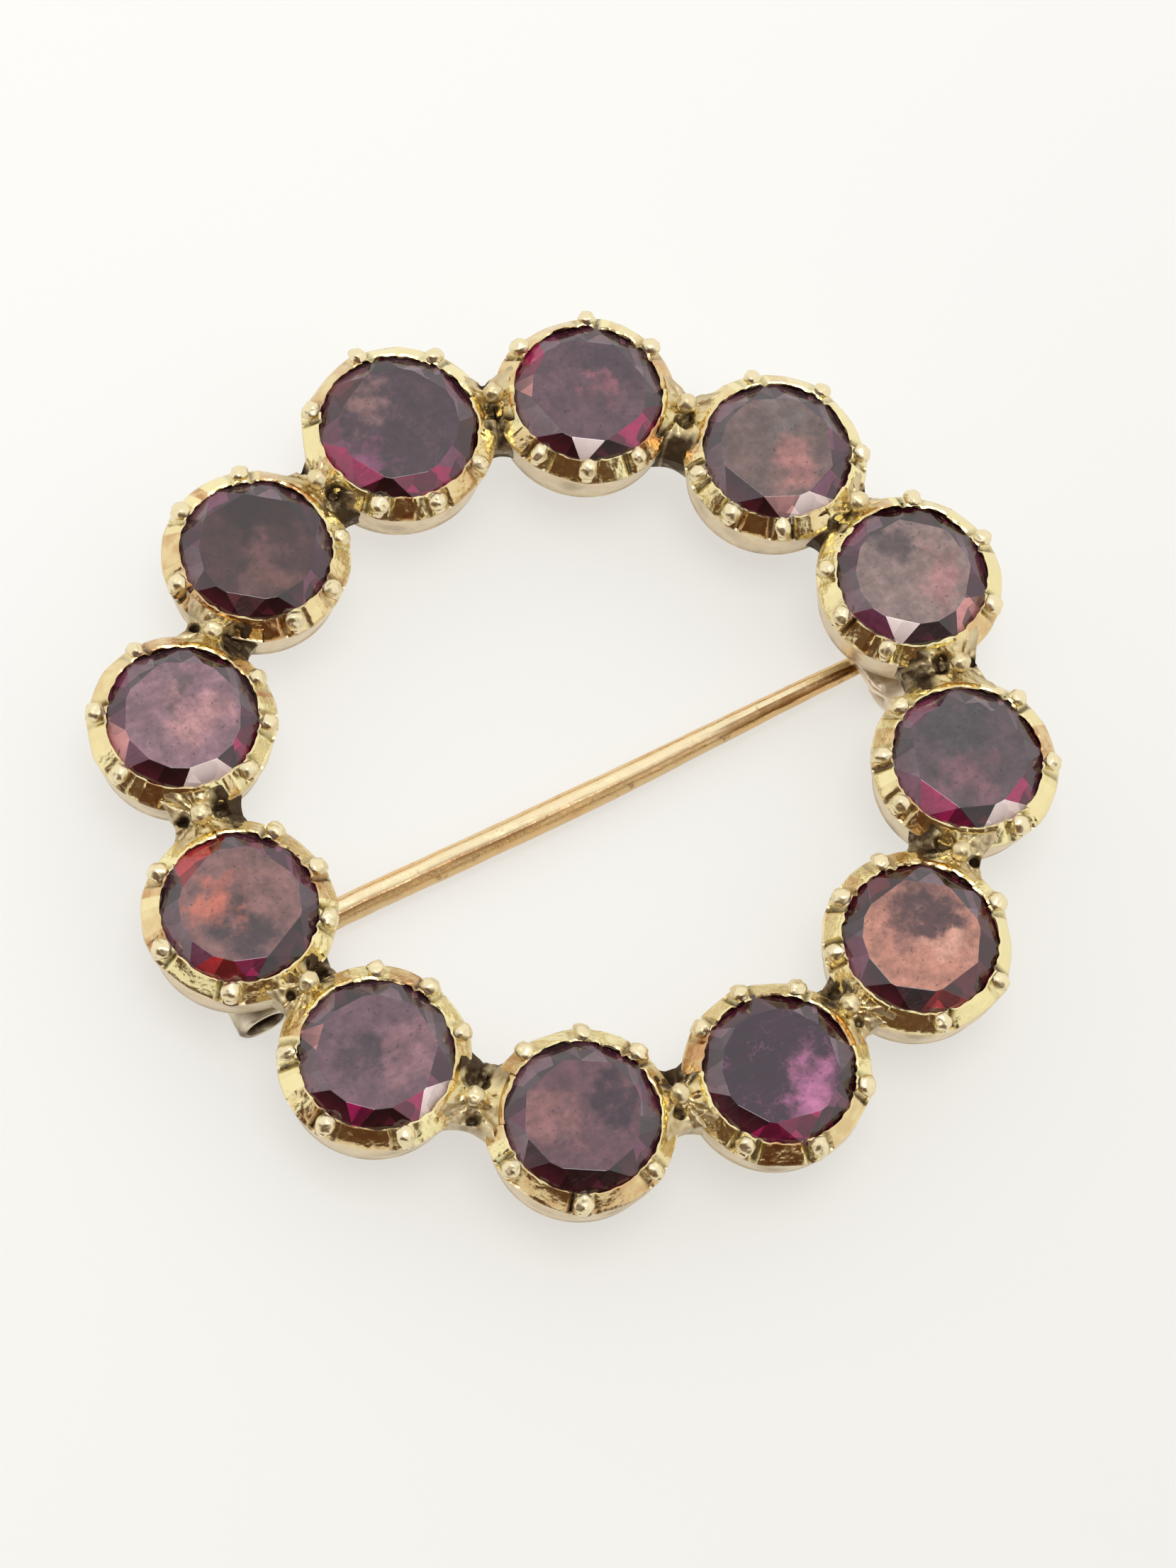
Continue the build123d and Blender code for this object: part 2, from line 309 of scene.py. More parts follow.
def gold_material(name, cut, wall, roughness):
    """A worn gold. The mesh gives tarnish and painted shade, plainness and warmth, in red, green and blue.
    """
    material = bpy.data.materials.new(name)
    add = new_nodes(material)
    place = add("ShaderNodeTexCoord").outputs["Object"]
    marks = add("ShaderNodeAttribute", attribute_name="finish").outputs["Color"]
    marks = add("ShaderNodeSeparateColor", {0: marks})
    darkening, plain, warm = marks.outputs[0], marks.outputs[1], marks.outputs[2]
    cloud = patches(add, place, scale=1100, detail=5.0, roughness=0.6)
    speck = patches(add, place, scale=6500, detail=3.0)
    wave = patches(add, place, scale=2300, detail=2.0)
    warm = sums(add, "MULTIPLY", warm, stretch(add, wave, *amber_range))
    colour = blend(add, plain, cut, wall)
    colour = blend(add, warm, colour, gold_amber)
    # The mesh's mark and the stains darken the gold: tarnish, together with painted shade where the mesh
    # puts it.
    tarnish_and_shade = sums(add, "MULTIPLY", darkening, stretch(add, cloud, *tarnish_and_shade_range))
    tarnish_and_shade = sums(add, "ADD", tarnish_and_shade, stretch(add, cloud, *stain_range))
    tarnish_and_shade = sums(add, "MINIMUM", tarnish_and_shade, 1.0)
    colour = blend(add, tarnish_and_shade, colour, gold_tarnish_and_shade)
    rough = stretch(add, plain, 0, 1, roughness, roughness + plain_roughness)
    rough = sums(add, "ADD", rough, stretch(add, speck, *speck_range))
    rough = sums(add, "ADD", rough, sums(add, "MULTIPLY", tarnish_and_shade, tarnish_and_shade_roughness))
    dents = sums(add, "ADD", wave, sums(add, "MULTIPLY", speck, speck_relief))
    metal_surface(add, colour, rough, dents, strength=0.7, depth=gold_relief)
    return material


collet_gold = gold_material("collet_gold", gold_cut, gold_wall, roughness=0.13)


def stone_of(number):
    """A stone's middle seen from above and its radius, from its solid."""
    low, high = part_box(f"garnet_{number:02d}")
    return Vector(((low.x + high.x) / 2, (low.y + high.y) / 2, 0)) / mm, (high.x - low.x) / 2 / mm


def held(value):
    """The value held between 0 and 1."""
    return min(max(value, 0.0), 1.0)


def arc(x, z, radius, start, end, steps):
    """Points on an arc between two angles in degrees."""
    angles = (math.radians(start + (end - start) * step / steps) for step in range(steps + 1))
    return [(x + radius * math.cos(angle), z + radius * math.sin(angle)) for angle in angles]


def line(first, last, steps):
    """Points on a straight line, without its first one."""
    return [
        (first[0] + (last[0] - first[0]) * step / steps, first[1] + (last[1] - first[1]) * step / steps)
        for step in range(1, steps + 1)
    ]


def spin_round(bm, profile, steps):
    """A shape turned about Z from a profile of radii and heights."""
    verts = [bm.verts.new((radius, 0, height)) for radius, height in profile]
    edges = [bm.edges.new(pair) for pair in zip(verts, verts[1:])]
    bmesh.ops.spin(
        bm,
        geom=verts + edges,
        cent=(0, 0, 0),
        axis=(0, 0, 1),
        angle=2 * math.pi,
        steps=steps,
        use_merge=True,
    )
    bmesh.ops.remove_doubles(bm, verts=bm.verts, dist=0.0005)
    bmesh.ops.recalc_face_normals(bm, faces=bm.faces)


def swing(bm, verts, axis, angle):
    """Turns points about an axis through the origin, by an angle in radians."""
    bmesh.ops.rotate(bm, cent=(0, 0, 0), matrix=Matrix.Rotation(angle, 3, axis), verts=verts)


def finish_piece(bm, name, material, body, sharp_deg):
    """Makes an object of a mesh drawn in millimetres, which rides on a body."""
    bmesh.ops.scale(bm, vec=(mm, mm, mm), verts=bm.verts)
    data = bpy.data.meshes.new(name)
    bm.to_mesh(data)
    bm.free()
    data.shade_smooth()
    data.set_sharp_from_angle(angle=math.radians(sharp_deg))
    data.materials.append(material)
    piece = bpy.data.objects.new(name, data)
    scene.collection.objects.link(piece)
    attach(piece, body)
    return piece


def cup_profile(radius):
    """The outline of a cup from the middle of its back, up the wall, over the lip and down to its floor."""
    inside = radius + seat_gap
    outside = radius + seat_gap + cup_wall
    lip = girdle_over_back + lip_over_girdle
    seat = girdle_over_back - seat_drop
    foot = outside - cup_taper
    edge = cup_edge_radius
    shoulder = [(outside + reach, lip - bevel_drop + rise) for reach, rise in bevel_shoulder]
    points = [(0, 0), (foot / 2, 0)]
    points += arc(foot - edge, edge, edge, -90, 0, cup_edge_steps)
    points += line(points[-1], shoulder[0], wall_rows)
    points += shoulder[1:]
    points += line(points[-1], (radius - lip_overhang + lip_flat, lip), bevel_rows)
    points += [(radius - lip_overhang, lip - lip_turn), (radius - lip_overhang, lip - lip_thickness)]
    points += [(inside, girdle_over_back), (inside, seat)]
    points += [(inside - seat_width, seat - seat_fall), (inside - seat_width, cup_back)]
    return points + [(0, cup_back)]


def angle_gap(first, second):
    """How far one angle is past another, from -180 to 180 degrees."""
    return (first - second + 180) % 360 - 180


Flat = namedtuple("Flat", "low high depth across down warm")


def cut_flats(chance, claws):
    """The flats cut round an edge, from claw to claw: each one's ends in degrees, and how it is cut."""
    flats = []
    claws = sorted(claw % 360 for claw in claws)
    for start, end in zip(claws, claws[1:] + [claws[0] + 360]):
        count = chance.choice(flats_in_gap)
        if end - start > wide_gap_deg:
            count += wide_gap_flats
        cuts = [step + chance.uniform(-flat_jitter, flat_jitter) for step in range(1, count)]
        ends = [start + (end - start) * cut / count for cut in cuts]
        for low, high in zip([start] + ends, ends + [end]):
            depth = chance.random() * flat_depth
            across = chance.uniform(-1.0, 1.0) * flat_tip
            down = chance.uniform(-1.0, 1.0) * flat_tip
            warm = chance.random() ** 2
            flats.append(Flat(low, high, depth, across, down, warm))
    return flats


def edge_at(turn, radius, flats, notches):
    """How an edge is cut at an angle: depth, slope, warmth, the cut into its wall, and its notch."""
    flat = next(
        row for row in flats if row.low <= turn < row.high or row.low <= turn + 360 < row.high
    )
    half = (flat.high - flat.low) / 2
    past = (turn - flat.low) % 360 - half
    chord = 1 - math.cos(math.radians(half)) / math.cos(math.radians(past))
    chord = min(chord, flat_chord_limit) * radius * flat_chord
    notch = 0.0
    for claw, side, strength in notches:
        aside = abs(math.radians(angle_gap(turn, claw)) * radius - side * claw_width * notch_aside)
        notch = max(notch, strength * (1 - aside / notch_width))
    return flat.depth + flat.across * past / flat_tip_deg, flat.down, flat.warm, chord, notch


def set_claw(bm, finish, chance, number, claw, radius):
    """A claw at an angle on a cup's edge: a long bead leaning on the stone, and a smaller one below it."""
    lip = girdle_over_back + lip_over_girdle
    outside = radius + seat_gap + cup_wall
    grow = chance.uniform(*claw_growth)
    size = Vector((claw_length * chance.uniform(*claw_stretch), claw_width * grow, claw_height * grow))
    tilt = math.radians(claw_tilt + chance.uniform(-claw_tilt_spread, claw_tilt_spread))
    skew = chance.uniform(-claw_skew, claw_skew)
    tip = Vector((radius + claw_outset, 0, lip - claw_under_lip))
    root = Vector((radius + claw_root_outset, 0, lip - claw_root_under))
    for share, centre in ((1.0, tip), (claw_root_share, root)):
        bead = bmesh.ops.create_uvsphere(bm, u_segments=24, v_segments=16, radius=0.5)["verts"]
        for vert in bead:
            lump = noise.noise(vert.co * claw_lump_rate + Vector((claw, number, share)))
            vert.co *= 1 + claw_lumps * lump
        bmesh.ops.scale(bm, vec=size * share, verts=bead)
        swing(bm, bead, "Z", skew)
        swing(bm, bead, "Y", tilt)
        bmesh.ops.translate(bm, vec=centre, verts=bead)
        for vert in bead:
            vert.co.x = min(vert.co.x, outside - claw_inset)
            vert.co.z = min(vert.co.z, lip + claw_rise)
            vert[finish] = bead_finish
        swing(bm, bead, "Z", math.radians(claw))


def make_collet(number):
    """A cup with its flats, notches and claws, standing in its place in the ring."""
    chance = random.Random(collet_seed + number)
    middle, radius = stone_of(number)
    lip = girdle_over_back + lip_over_girdle
    outside = radius + seat_gap + cup_wall
    reach_of_lip = radius - lip_overhang
    turned = claw_turns[number - 1]
    claws = [angle + turned + chance.uniform(-claw_spread, claw_spread) for angle in claw_angles]
    flats = cut_flats(chance, claws)
    notches = [(claw, side, chance.uniform(*notch_strength)) for claw in claws for side in (-1, 1)]
    bm = bmesh.new()
    spin_round(bm, cup_profile(radius), cup_steps)
    finish = bm.verts.layers.float_color.new("finish")
    by_angle = {}
    for vert in bm.verts:
        reach = math.hypot(vert.co.x, vert.co.y)
        height = vert.co.z
        turn = math.degrees(math.atan2(vert.co.y, vert.co.x)) % 360
        key = round(turn, 2)
        if key not in by_angle:
            by_angle[key] = edge_at(turn, radius, flats, notches)
        depth, down, warm, chord, notch = by_angle[key]
        # Where the point is: on the bevel or the wall, near the foot, or beside a web.
        on_bevel = held((height - lip + bevel_drop + bevel_margin) / bevel_fade)
        on_bevel *= held((reach - reach_of_lip + lip_fade) / lip_fade)
        wall = 1.0 - on_bevel
        inward = held((outside - reach) / (outside - reach_of_lip))
        lumps = noise.noise(vert.co * lump_rate + Vector((0, 0, lump_stride * number)))
        foot = 1 - min(height / foot_height, 1.0)
        outer = held((reach / outside - rim_start_share) / rim_fade_share)
        beside = max(1 - abs(abs(angle_gap(turn, 0)) - web_deg) / web_shade_deg, 0.0) * outer
        # Painted shade lies at the foot, beside the webs and in the notches; tarnish lies in patches on the
        # wall.
        tarnish_and_shade = (foot_painted_shade + foot_rim_painted_shade * outer) * foot
        tarnish_and_shade += beside_web_painted_shade * beside * wall
        tarnish_and_shade += notch_painted_shade * notch * on_bevel
        tarnish_and_shade += (wall_soil + lump_soil * max(lumps, 0)) * wall
        vert[finish] = (min(tarnish_and_shade, 1.0), wall, max(warm * on_bevel, wall_warmth * wall), 1.0)
        # The flats and notches are cut down into the bevel, and the flats go a little way down the wall.
        if reach > reach_of_lip - edge_margin and height > cup_edge_radius:
            out = Vector((vert.co.x, vert.co.y, 0)).normalized()
            cut = max(depth + down * (inward - 0.5), 0.0) + notch * notch_depth
            vert.co -= (out * cut_inward + Vector((0, 0, cut_down))) * cut * on_bevel
            vert.co -= out * chord * (1 - inward) * held((height - lip + flat_reach_down) / flat_fade)
            vert.co += out * (lumps * lump_height - lump_sink)
            rag = max(noise.noise(vert.co * rag_rate + Vector((0, 0, rag_stride * number))), rag_least)
            vert.co -= out * rag * rag_depth * held(rag_slope * inward - rag_start) * on_bevel
    for claw in claws:
        set_claw(bm, finish, chance, number, claw, radius)
    swing(bm, bm.verts, "Z", math.atan2(middle.y, middle.x))
    bmesh.ops.translate(bm, vec=middle + Vector((0, 0, girdle_z - girdle_over_back)), verts=bm.verts)
    return finish_piece(bm, f"collet_{number:02d}", collet_gold, "brooch", sharp_deg=30.0)


collets = [make_collet(number) for number in range(1, stone_count + 1)]
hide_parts("setting")

# Joins: a web of solder and scrap gold fills the corner between each collet and the next, sunk a little
# below their edges, with a round grain on top, often nearer the outside. The graver has fluted it round the
# grain and left two black pits, and the web falls away to the inside in a flank darkened with streaked
# painted shade.
join_seed = 300
grain_radius = 0.31
grain_aside = 0.06
grain_drop = 0.11
grain_rise = 0.19
grain_swell = (0.88, 1.08)
grain_lumps = 0.16
grain_lump_rate = 5
grain_shifts = (0.60, 0.66, 0.58, 0.42, 0.20, 0.30, 0.0, 0.34, 0.0, 0.0, 0.50, 0.66)
web_inner_width = 0.95
web_outer_width = 0.92
web_outer_growth = 0.45
web_flare = 0.42
web_bite = 0.42
web_edge_drop = 0.03
web_dip = 0.22
web_dip_power = 1.5
web_inner_sag = 0.58
web_outer_sag = 0.22
web_sag_loss = 0.35
web_depth = 1.60
web_taper = 0.15
flute_depth = 0.13
flute_width = 0.20
flute_rate = 2.1
flute_stride = 3
flute_clear = 0.5
flute_end_loss = 0.8
outer_flute_soil = 0.5
pit_depth = 0.26
pit_steep = 1.5
pit_radius = (0.26, 0.40)
pit_away = (0.45, 0.66)
pit_aside = 0.16
pit_rag = 0.45
pit_rag_rate = 3.5
pit_rag_stride = 4
outer_pit_share = 0.55
grit_height = 0.05
grit_rate = 6.0
grit_stride = 9
grit_warmth = 0.9
flank_start = 0.05
flank_fade = 0.40
flank_painted_shade = 0.95
flank_shade_streaks = 1.1
streak_rate = 5.0
streak_stride = 5
web_soil = 0.08
edge_soil = 0.12
flute_soil = 0.50
pit_soil = 2.2
solder_cut = (0.86, 0.72, 0.38, 1.0)
solder_wall = (0.78, 0.66, 0.42, 1.0)
solder_gold = gold_material("solder_gold", solder_cut, solder_wall, roughness=0.18)


def make_join(number):
    """The web and the grain between a stone's collet and the next one, counter-clockwise."""
    chance = random.Random(join_seed + number)
    here, here_radius = stone_of(number)
    there, there_radius = stone_of(number % stone_count + 1)
    along = (there - here).normalized()
    inward = Vector((-along.y, along.x, 0))
    wall = seat_gap + cup_wall - web_bite
    start = here + along * (here_radius + wall)
    end = there - along * (there_radius + wall)
    middle = (start + end) / 2
    half = (end - start).length / 2
    top = girdle_z + lip_over_girdle
    shift = grain_shifts[number - 1]
    grain = Vector((chance.uniform(-grain_aside, grain_aside), -shift, 0))
    pits = []
    for side in (-1, 1):
        away = Vector((chance.uniform(-pit_aside, pit_aside), side * chance.uniform(*pit_away), 0))
        pits.append((grain + away, chance.uniform(*pit_radius) * (1.0 if side > 0 else outer_pit_share)))
    bm = bmesh.new()
    bmesh.ops.create_grid(bm, x_segments=28, y_segments=60, size=1.0)
    finish = bm.verts.layers.float_color.new("finish")
    slab = bmesh.ops.extrude_face_region(bm, geom=bm.faces[:])
    under = [item for item in slab["geom"] if isinstance(item, bmesh.types.BMVert)]
    bmesh.ops.translate(bm, vec=(0, 0, -1), verts=under)
    bmesh.ops.recalc_face_normals(bm, faces=bm.faces)
    for vert in bm.verts:
        along_share, across_share, depth_share = vert.co.x, vert.co.y, -vert.co.z
        is_inner = across_share > 0
        width = web_inner_width if is_inner else web_outer_width + web_outer_growth * shift
        spread = width * (1 + web_flare * along_share**2)
        edge_gap = here_radius - math.sqrt(max(here_radius**2 - (across_share * spread) ** 2, 0))
        spot = Vector((along_share * (half + edge_gap), across_share * spread, 0))
        # The graver's flutes run out from the grain.
        from_grain = spot - grain
        round_grain = math.atan2(from_grain.y, from_grain.x)
        way = Vector((math.cos(round_grain), math.sin(round_grain), flute_stride * number))
        groove = max(1 - abs(noise.noise(way * flute_rate)) / flute_width, 0.0)
        groove *= min(from_grain.length / flute_clear, 1.0)
        groove *= 1 - flute_end_loss * along_share**4
        fine = noise.noise(Vector((spot.x * grit_rate, spot.y * grit_rate, grit_stride * number)))
        streak = noise.noise(Vector((spot.x * streak_rate, 0, streak_stride * number)))
        # The web is sunk in its middle and falls away at its edges, with the two pits in it.
        sag = web_inner_sag if is_inner else web_outer_sag
        sunk = web_edge_drop + web_dip * (1 - abs(along_share) ** web_dip_power)
        sunk += sag * across_share**2 * (1 - web_sag_loss * along_share**2)
        rag_place = Vector((spot.x * pit_rag_rate, spot.y * pit_rag_rate, pit_rag_stride * number))
        ragged = pit_rag * noise.noise(rag_place)
        black = max(max(1 - (spot - pit).length / size + ragged, 0.0) for pit, size in pits)
        height = -sunk - flute_depth * groove + grit_height * fine
        height -= pit_depth * min(black * pit_steep, 1.0)
        height = height * (1 - depth_share) - web_depth * depth_share
        spot.y *= 1 - web_taper * depth_share
        # The inner flank is darkened with streaked painted shade.
        flank = held((across_share - flank_start) / flank_fade) * (flank_painted_shade + flank_shade_streaks * streak)
        tarnish_and_shade = web_soil + flank + edge_soil * across_share**2
        tarnish_and_shade += flute_soil * groove * (1 if is_inner else outer_flute_soil)
        tarnish_and_shade += pit_soil * black
        vert[finish] = (held(tarnish_and_shade), min(abs(across_share), 1.0), max(grit_warmth * fine, 0.0), 1.0)
        vert.co = Vector((spot.x, spot.y, height))
    bead = bmesh.ops.create_uvsphere(bm, u_segments=28, v_segments=18, radius=grain_radius)["verts"]
    swell = chance.uniform(*grain_swell)
    for vert in bead:
        vert.co *= swell + grain_lumps * noise.noise(vert.co * grain_lump_rate + Vector((0, number, 0)))
        vert.co += grain - Vector((0, 0, grain_drop))
        vert.co.z = min(vert.co.z, grain_rise)
        vert[finish] = bead_finish
    turn = Matrix((along, inward, Vector((0, 0, 1)))).transposed()
    bmesh.ops.rotate(bm, cent=(0, 0, 0), matrix=turn, verts=bm.verts)
    bmesh.ops.translate(bm, vec=(middle.x, middle.y, top), verts=bm.verts)
    finish_piece(bm, f"join_{number:02d}", solder_gold, "brooch", sharp_deg=40.0)


for number in range(1, stone_count + 1):
    make_join(number)

# Garnets: flat-cut, with an uneven table of about eight sides, two kinds of facet round it and a shallow
# back. They are old stones, foiled behind, hazy and full of feathers, and each has its own colours. Their
# facets carry painted reflections and glints, dark on the near side, and a painted shade toward the girdle.
# The burnished edges and the claws of the collets hold them.
Glow = namedtuple("Glow", "colour angle_deg away size")
Look = namedtuple("Look", "facets_deg tones colour glow shade")
# A row for each stone: how far its facets are turned, their painted tones (the reflections and glints on
# them) counter-clockwise from the picture's right side, the colour of its table, and a bright and a dark
# place in it: colour, angle in the picture, distance from the middle and size.
looks = (
    Look(5, "mhdhdhdmhhmgddpm", (0.290, 0.212, 0.200),
         Glow((0.400, 0.215, 0.215), -10, 0.36, 0.42), Glow((0.125, 0.095, 0.100), 120, 0.56, 0.34)),
    Look(21, "mhhhhhhhhhddpgmm", (0.190, 0.135, 0.128),
         Glow((0.400, 0.195, 0.185), -50, 0.34, 0.42), Glow((0.200, 0.165, 0.155), 80, 0.40, 0.40)),
    Look(12, "hhhhhmhcphhdgdcc", (0.150, 0.095, 0.115),
         Glow((0.270, 0.120, 0.150), 20, 0.20, 0.22), Glow((0.100, 0.072, 0.090), 60, 0.50, 0.45)),
    Look(30, "bhmhhdhbmmccdccm", (0.094, 0.068, 0.082),
         Glow((0.250, 0.148, 0.150), 150, 0.44, 0.32), Glow((0.230, 0.095, 0.160), 235, 0.62, 0.30)),
    Look(8, "mhdhhhmhmhddbddm", (0.098, 0.060, 0.064),
         Glow((0.175, 0.098, 0.094), -80, 0.34, 0.40), Glow((0.062, 0.046, 0.048), 80, 0.55, 0.55)),
    Look(17, "mhhdhhhmmpmddgdc", (0.290, 0.175, 0.210),
         Glow((0.500, 0.270, 0.280), -30, 0.14, 0.36), Glow((0.165, 0.118, 0.128), 100, 0.46, 0.34)),
    Look(26, "hmmmhrrhhhmrcddm", (0.255, 0.145, 0.142),
         Glow((0.520, 0.175, 0.130), 165, 0.30, 0.34), Glow((0.095, 0.072, 0.082), -80, 0.36, 0.40)),
    Look(2, "hhhhhdhphhdcdcgm", (0.185, 0.112, 0.138),
         Glow((0.310, 0.170, 0.195), 0, 0.42, 0.40), Glow((0.095, 0.070, 0.085), 200, 0.30, 0.34)),
    Look(14, "hmhmhhhhmhdddddm", (0.160, 0.090, 0.108),
         Glow((0.290, 0.145, 0.150), 190, 0.42, 0.40), Glow((0.072, 0.050, 0.066), 20, 0.46, 0.28)),
    Look(33, "dhdhdmdhhhddccdm", (0.072, 0.042, 0.068),
         Glow((0.520, 0.190, 0.350), -35, 0.62, 0.44), Glow((0.064, 0.046, 0.062), 150, 0.40, 0.40)),
    Look(10, "hbhdhbhdhmdddrbb", (0.540, 0.255, 0.195),
         Glow((0.700, 0.370, 0.290), -20, 0.46, 0.30), Glow((0.105, 0.064, 0.072), 85, 0.30, 0.52)),
    Look(24, "hdhhhmmhhmccdgcm", (0.128, 0.096, 0.108),
         Glow((0.220, 0.122, 0.145), -90, 0.30, 0.36), Glow((0.092, 0.084, 0.090), 95, 0.42, 0.46)),
)
# Painted reflections and glints for the facets, one tone for each letter in a stone's row.
painted_facet_tones = {
    "h": (0.105, 0.070, 0.085),
    "m": (0.105, 0.030, 0.062),
    "d": (0.016, 0.001, 0.006),
    "b": (0.060, 0.005, 0.008),
    "c": (0.260, 0.006, 0.070),
    "r": (0.320, 0.024, 0.026),
    "p": (0.500, 0.210, 0.200),
    "g": (0.950, 0.790, 0.770),
}
# Painted shade toward the girdle: a dark maroon where the collet's lip overhangs the stone.
lip_shade_colour = Vector((0.110, 0.012, 0.026))
lip_shade_share = 0.50
lip_shade_start = 0.86
lip_shade_fade = 0.12
sky_glare = 0.045
darkest = 0.002
picture_right_deg = -28.0
table_share = 0.75
table_level = 0.995
corner_share = 0.965
facet_jitter = 0.05
girdle_height = 0.22
girdle_steps = 96
pavilion_depth = 1.05
culet_share = 0.234
crown_sides = 8
pavilion_sides = 16
stone_edge = 0.008
garnet_seed = 500
garnet_ior = 1.76
garnet_relief = 0.02
scratch_relief = 0.3
scratch_turn = 0.6
scratch_length = 14.0
scratch_gloss = (0.50, 0.70, 0.05, 0.20)
grit_gloss = (0.5, 0.8, 0.0, 0.10)
drift_amount = 1.5
shade_range = (0.45, 1.35, 0.95, 0.0)
glow_range = (0.35, 1.35, 1.0, 0.0)
haze_range = (0.30, 0.70, 0.72, 1.34)
mottle_range = (0.30, 0.70, 0.84, 1.16)
grit_range = (0.28, 0.36, 0.50, 1.0)
feather_range = (0.0, 0.05, 0.22, 0.0)
feather_haze = (0.46, 0.60)
painted_glint_range = (0.15, 0.85, 0.32, 1.75)
painted_glint_mottle = (0.35, 0.65, 0.85, 1.15)
broken_range = (0.30, 0.80, 0.85, 0.15)

garnet = bpy.data.materials.new("garnet")
add = new_nodes(garnet)
place = add("ShaderNodeTexCoord").outputs["Object"]
colour_and_light = add("ShaderNodeAttribute", attribute_name="colour_and_painted_light")
glow = add("ShaderNodeAttribute", attribute_name="glow_colour")
shade = add("ShaderNodeAttribute", attribute_name="shade_colour")
local = add("ShaderNodeAttribute", attribute_name="local").outputs["Vector"]
glow_way = add("ShaderNodeAttribute", attribute_name="glow_place").outputs["Vector"]
shade_way = add("ShaderNodeAttribute", attribute_name="shade_place").outputs["Vector"]
on_table = colour_and_light.outputs["Alpha"]
inputs = {"Vector": place, "Scale": 900, "Detail": 5.0, "Roughness": 0.6}
drift = add("ShaderNodeTexNoise", inputs).outputs["Color"]
drift = add("ShaderNodeVectorMath", {0: drift, 1: (0.5, 0.5, 0.5)}, operation="SUBTRACT").outputs[0]
drift = add("ShaderNodeVectorMath", {0: drift, "Scale": drift_amount}, operation="SCALE").outputs[0]
bent = add("ShaderNodeVectorMath", {0: local, 1: drift}, operation="ADD").outputs[0]
near_glow = add("ShaderNodeVectorMath", {0: bent, 1: glow_way}, operation="DISTANCE").outputs["Value"]
near_glow = sums(add, "DIVIDE", near_glow, glow.outputs["Alpha"])
near_shade = add("ShaderNodeVectorMath", {0: bent, 1: shade_way}, operation="DISTANCE").outputs["Value"]
near_shade = sums(add, "DIVIDE", near_shade, shade.outputs["Alpha"])
haze = patches(add, place, scale=1500, detail=6.0, roughness=0.62)
mottle = patches(add, place, scale=4200, detail=4.0, roughness=0.65)
grit = patches(add, place, scale=7500, detail=2.0)
fold = add("ShaderNodeTexVoronoi", {"Vector": bent, "Scale": 1.7}, feature="DISTANCE_TO_EDGE")
cell = add("ShaderNodeTexVoronoi", {"Vector": local, "Scale": 4.5}, feature="F1").outputs["Color"]
cell = add("ShaderNodeSeparateColor", {0: cell}).outputs[0]
in_shade = stretch(add, near_shade, *shade_range)
colour = blend(add, in_shade, colour_and_light.outputs["Color"], shade.outputs["Color"])
colour = blend(add, stretch(add, near_glow, *glow_range), colour, glow.outputs["Color"])
tone = stretch(add, haze, *haze_range)
tone = sums(add, "MULTIPLY", tone, stretch(add, mottle, *mottle_range))
tone = sums(add, "MULTIPLY", tone, stretch(add, grit, *grit_range))
grey = add("ShaderNodeCombineColor", {0: tone, 1: tone, 2: tone}).outputs[0]
worked = blend(add, 1.0, colour, grey, how="MULTIPLY")
feather = stretch(add, fold.outputs["Distance"], *feather_range)
feather = sums(add, "MULTIPLY", feather, stretch(add, haze, *feather_haze))
worked = blend(add, feather, worked, glow.outputs["Color"])
# The facets are broken into painted glints, the back facets' reflections seen through the crown.
painted_glints = stretch(add, cell, *painted_glint_range)
painted_glints = sums(add, "MULTIPLY", painted_glints, stretch(add, mottle, *painted_glint_mottle))
painted_glints = add("ShaderNodeCombineColor", {0: painted_glints, 1: painted_glints, 2: painted_glints}).outputs[0]
redness = add("ShaderNodeSeparateColor", {0: colour_and_light.outputs["Color"]}).outputs[0]
broken = stretch(add, redness, *broken_range)
painted_facet_light = blend(add, broken, colour_and_light.outputs["Color"], painted_glints, how="MULTIPLY")
body = blend(add, on_table, painted_facet_light, worked)
inputs = {"Vector": place, "Rotation": (0, 0, scratch_turn), "Scale": (1.0, scratch_length, 1.0)}
rubbed = add("ShaderNodeMapping", inputs).outputs[0]
scratch = patches(add, rubbed, scale=900, detail=4.0)
gloss = sums(add, "ADD", stretch(add, scratch, *scratch_gloss), stretch(add, grit, *grit_gloss))
relief = sums(add, "ADD", sums(add, "MULTIPLY", scratch, scratch_relief), haze)
inputs = {"Height": relief, "Strength": 0.35, "Distance": garnet_relief * mm}
bump = add("ShaderNodeBump", inputs).outputs[0]
inputs = {"Base Color": body, "Roughness": gloss, "IOR": garnet_ior, "Normal": bump}
stone = add("ShaderNodeBsdfPrincipled", inputs)
add("ShaderNodeOutputMaterial", {"Surface": stone.outputs[0]})


def cut_facet(bm, turn_deg, edge_reach, edge_height, end_reach, end_height):
    """Cuts a facet that faces turn_deg, from its edge on the girdle to its edge on the table or back."""
    rise = end_height - edge_height
    slope = math.atan2(edge_reach - end_reach, abs(rise))
    turn = math.radians(turn_deg)
    facing = Vector((math.cos(slope) * math.cos(turn), math.cos(slope) * math.sin(turn), 0))
    facing.z = math.copysign(math.sin(slope), rise)
    spot = Vector((edge_reach * math.cos(turn), edge_reach * math.sin(turn), edge_height))
    everything = bm.verts[:] + bm.edges[:] + bm.faces[:]
    cut = bmesh.ops.bisect_plane(bm, geom=everything, plane_co=spot, plane_no=facing, clear_outer=True)
    edges = [item for item in cut["geom_cut"] if isinstance(item, bmesh.types.BMEdge)]
    if len(edges) > 2:
        bmesh.ops.edgeloop_fill(bm, edges=edges)


